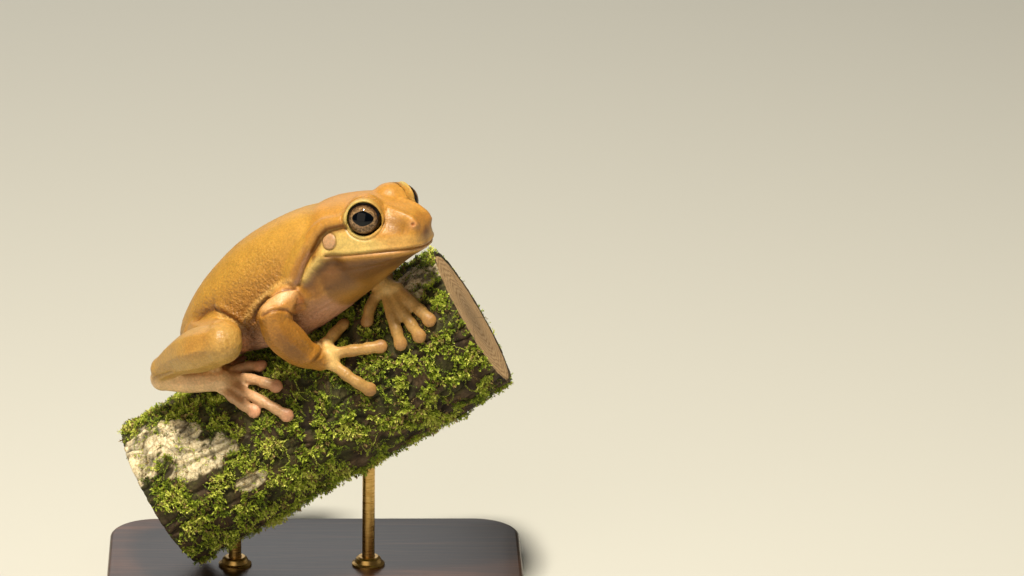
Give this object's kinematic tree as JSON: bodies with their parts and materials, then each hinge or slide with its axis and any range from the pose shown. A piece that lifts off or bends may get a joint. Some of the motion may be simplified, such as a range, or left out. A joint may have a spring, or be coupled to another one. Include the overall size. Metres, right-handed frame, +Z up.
{
  "type": "whites tree frog",
  "caption": "Honey-coloured tree frog, life size, gripping a short sloping length of mossy branch held above a flat base by slim rods.",
  "frame": {"origin": "middle of the underside of the stand's base, which is also the bottom centre of the bounding box", "axes": "+Z up, +X the way the branch climbs and the frog looks, +Y towards the frog's left side"},
  "size_m": [0.106, 0.07, 0.1102],
  "materials": {
    "back_skin": "moist, finely granular honey-orange skin",
    "limb_skin": "moist, smooth honey skin, paler below",
    "foot_skin": "moist pinkish cream skin with pads",
    "eye": "glossy eye with a dark rim and pupil",
    "bark": "rough bark with moss and lichen",
    "base_wood": "satin dark stained wood",
    "rod_brass": "satin brass"
  },
  "bodies": {
    "root": {"head": "back_skin", "torso": "back_skin", "upper_arm_right": "limb_skin", "upper_arm_left": "limb_skin", "forearm_right": "limb_skin", "forearm_left": "limb_skin", "thigh_right": "limb_skin", "thigh_left": "limb_skin", "shank_right": "limb_skin", "shank_left": "limb_skin", "hand_right": "foot_skin", "hand_left": "foot_skin", "foot_right": "foot_skin", "foot_left": "foot_skin", "finger_right_1": "foot_skin", "finger_right_2": "foot_skin", "finger_right_3": "foot_skin", "finger_right_4": "foot_skin", "finger_left_1": "foot_skin", "finger_left_2": "foot_skin", "finger_left_3": "foot_skin", "finger_left_4": "foot_skin", "toe_right_1": "foot_skin", "toe_right_2": "foot_skin", "toe_right_3": "foot_skin", "toe_right_4": "foot_skin", "toe_right_5": "foot_skin", "toe_left_1": "foot_skin", "toe_left_2": "foot_skin", "toe_left_3": "foot_skin", "toe_left_4": "foot_skin", "toe_left_5": "foot_skin", "eye_right": "eye", "eye_left": "eye", "perch_branch": "bark", "stand_base": "base_wood", "stand_rod_1": "rod_brass", "stand_rod_2": "rod_brass"}
  },
  "joints": []
}
